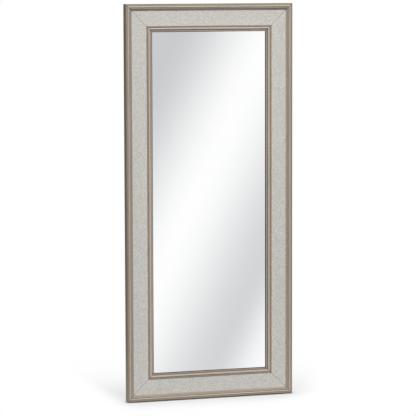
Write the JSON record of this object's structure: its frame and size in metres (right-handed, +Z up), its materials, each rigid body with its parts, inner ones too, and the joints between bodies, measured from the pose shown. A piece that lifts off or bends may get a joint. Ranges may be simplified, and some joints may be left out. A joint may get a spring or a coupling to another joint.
{
  "type": "full-length mirror",
  "caption": "Tall rectangular floor mirror: plain glass in a wide mitred frame of champagne reeded mouldings and flat silver-grey textured panels.",
  "frame": {"origin": "on the floor, under the middle of the frame's width and depth", "axes": "+Z up, +Y towards the back of the mirror, +X to the right as seen from the front"},
  "size_m": [0.8, 0.0427, 1.83],
  "materials": {
    "champagne_moulding": "champagne metallic finish with darker grooves",
    "textured_panel": "fine mottled silver-grey texture, grain along each rail",
    "core_wood": "bare softwood",
    "biscuit_wood": "pressed beech",
    "mirror_glass": "silvered, polished",
    "hardboard": "smooth brown hardboard",
    "zinc_steel": "bright zinc plate",
    "black_rubber": "matt"
  },
  "bodies": {
    "frame": {"backing_board": "hardboard", "core_bottom": "core_wood", "core_left": "core_wood", "core_right": "core_wood", "core_top": "core_wood", "corner_bracket_bottom_left": "zinc_steel", "corner_bracket_bottom_right": "zinc_steel", "corner_bracket_screws": "zinc_steel", "corner_bracket_top_left": "zinc_steel", "corner_bracket_top_right": "zinc_steel", "edge_spacers": "black_rubber", "floor_pads": "black_rubber", "hanger_plate_left": "zinc_steel", "hanger_plate_right": "zinc_steel", "hanger_screws": "zinc_steel", "inner_moulding_bottom": "champagne_moulding", "inner_moulding_left": "champagne_moulding", "inner_moulding_right": "champagne_moulding", "inner_moulding_top": "champagne_moulding", "mirror_pane": "mirror_glass", "mitre_biscuits": "biscuit_wood", "outer_moulding_bottom": "champagne_moulding", "outer_moulding_left": "champagne_moulding", "outer_moulding_right": "champagne_moulding", "outer_moulding_top": "champagne_moulding", "panel_bottom": "textured_panel", "panel_left": "textured_panel", "panel_right": "textured_panel", "panel_top": "textured_panel", "setting_blocks": "black_rubber", "turn_button_screws": "zinc_steel", "wall_bumpers": "black_rubber"},
    "hanger_ring_left": {"hanger_ring_left": "zinc_steel"},
    "hanger_ring_right": {"hanger_ring_right": "zinc_steel"},
    "turn_button_bottom": {"turn_button_bottom": "zinc_steel"},
    "turn_button_left_lower": {"turn_button_left_lower": "zinc_steel"},
    "turn_button_left_middle": {"turn_button_left_middle": "zinc_steel"},
    "turn_button_left_upper": {"turn_button_left_upper": "zinc_steel"},
    "turn_button_right_lower": {"turn_button_right_lower": "zinc_steel"},
    "turn_button_right_middle": {"turn_button_right_middle": "zinc_steel"},
    "turn_button_right_upper": {"turn_button_right_upper": "zinc_steel"},
    "turn_button_top": {"turn_button_top": "zinc_steel"}
  },
  "joints": [
    {"name": "hanger_ring_left_swing", "type": "hinge", "parent": "frame", "child": "hanger_ring_left", "pos_m": [-0.3385, 0.01555, 1.41], "axis": [1, 0, 0], "range_deg": [0, 180]},
    {"name": "hanger_ring_right_swing", "type": "hinge", "parent": "frame", "child": "hanger_ring_right", "pos_m": [0.3385, 0.01555, 1.41], "axis": [1, 0, 0], "range_deg": [0, 180]},
    {"name": "turn_button_top_turn", "type": "hinge", "parent": "frame", "child": "turn_button_top", "pos_m": [0, 0.01325, 1.725], "axis": [0, 1, 0], "continuous": true},
    {"name": "turn_button_bottom_turn", "type": "hinge", "parent": "frame", "child": "turn_button_bottom", "pos_m": [0, 0.01325, 0.108], "axis": [0, 1, 0], "continuous": true},
    {"name": "turn_button_left_upper_turn", "type": "hinge", "parent": "frame", "child": "turn_button_left_upper", "pos_m": [-0.295, 0.01325, 1.478], "axis": [0, 1, 0], "continuous": true},
    {"name": "turn_button_left_middle_turn", "type": "hinge", "parent": "frame", "child": "turn_button_left_middle", "pos_m": [-0.295, 0.01325, 0.9165], "axis": [0, 1, 0], "continuous": true},
    {"name": "turn_button_left_lower_turn", "type": "hinge", "parent": "frame", "child": "turn_button_left_lower", "pos_m": [-0.295, 0.01325, 0.355], "axis": [0, 1, 0], "continuous": true},
    {"name": "turn_button_right_upper_turn", "type": "hinge", "parent": "frame", "child": "turn_button_right_upper", "pos_m": [0.295, 0.01325, 1.478], "axis": [0, 1, 0], "continuous": true},
    {"name": "turn_button_right_middle_turn", "type": "hinge", "parent": "frame", "child": "turn_button_right_middle", "pos_m": [0.295, 0.01325, 0.9165], "axis": [0, 1, 0], "continuous": true},
    {"name": "turn_button_right_lower_turn", "type": "hinge", "parent": "frame", "child": "turn_button_right_lower", "pos_m": [0.295, 0.01325, 0.355], "axis": [0, 1, 0], "continuous": true}
  ]
}
